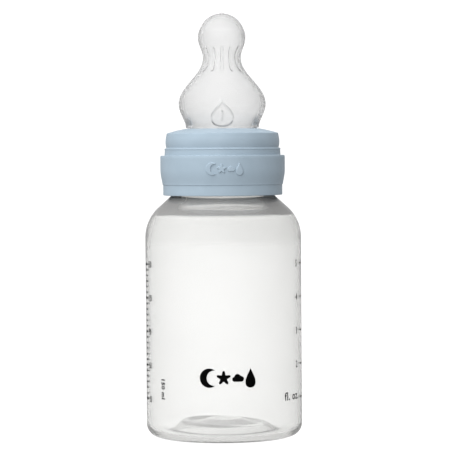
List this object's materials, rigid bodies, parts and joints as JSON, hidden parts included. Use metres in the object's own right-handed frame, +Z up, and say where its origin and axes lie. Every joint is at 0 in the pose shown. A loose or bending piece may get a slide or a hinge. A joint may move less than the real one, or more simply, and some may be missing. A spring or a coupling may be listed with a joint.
{
  "type": "baby bottle",
  "caption": "Clear feeding bottle with a round-shouldered body and threaded neck; a screw ring clamps the flange of a soft teat, and both unscrew and lift off.",
  "frame": {"origin": "centre of the base, on the surface the bottle stands on", "axes": "+Z up along the bottle's axis to the teat's tip, front with the printed row of icons facing -Y"},
  "size_m": [0.058, 0.058, 0.1573],
  "materials": {
    "bottle": "clear, glossy, with black printed marks",
    "screw_ring": "satin, pale grey blue",
    "teat": "milky translucent silicone"
  },
  "bodies": {
    "bottle": {"bottle": "bottle"},
    "teat": {"teat": "teat"},
    "screw_ring": {"screw_ring": "screw_ring"}
  },
  "joints": [
    {"name": "teat_lift", "type": "slide", "parent": "bottle", "child": "teat", "axis": [0, 0, 1], "range_m": [0, 0.0241]},
    {"name": "ring_turn", "type": "hinge", "parent": "teat", "child": "screw_ring", "pos_m": [0, 0, 0.1], "axis": [0, 0, 1], "range_deg": [0, 1080]}
  ],
  "couplings": [
    {"joint": "teat_lift", "follows": "ring_turn", "m_per_rad": 0.0012732}
  ]
}
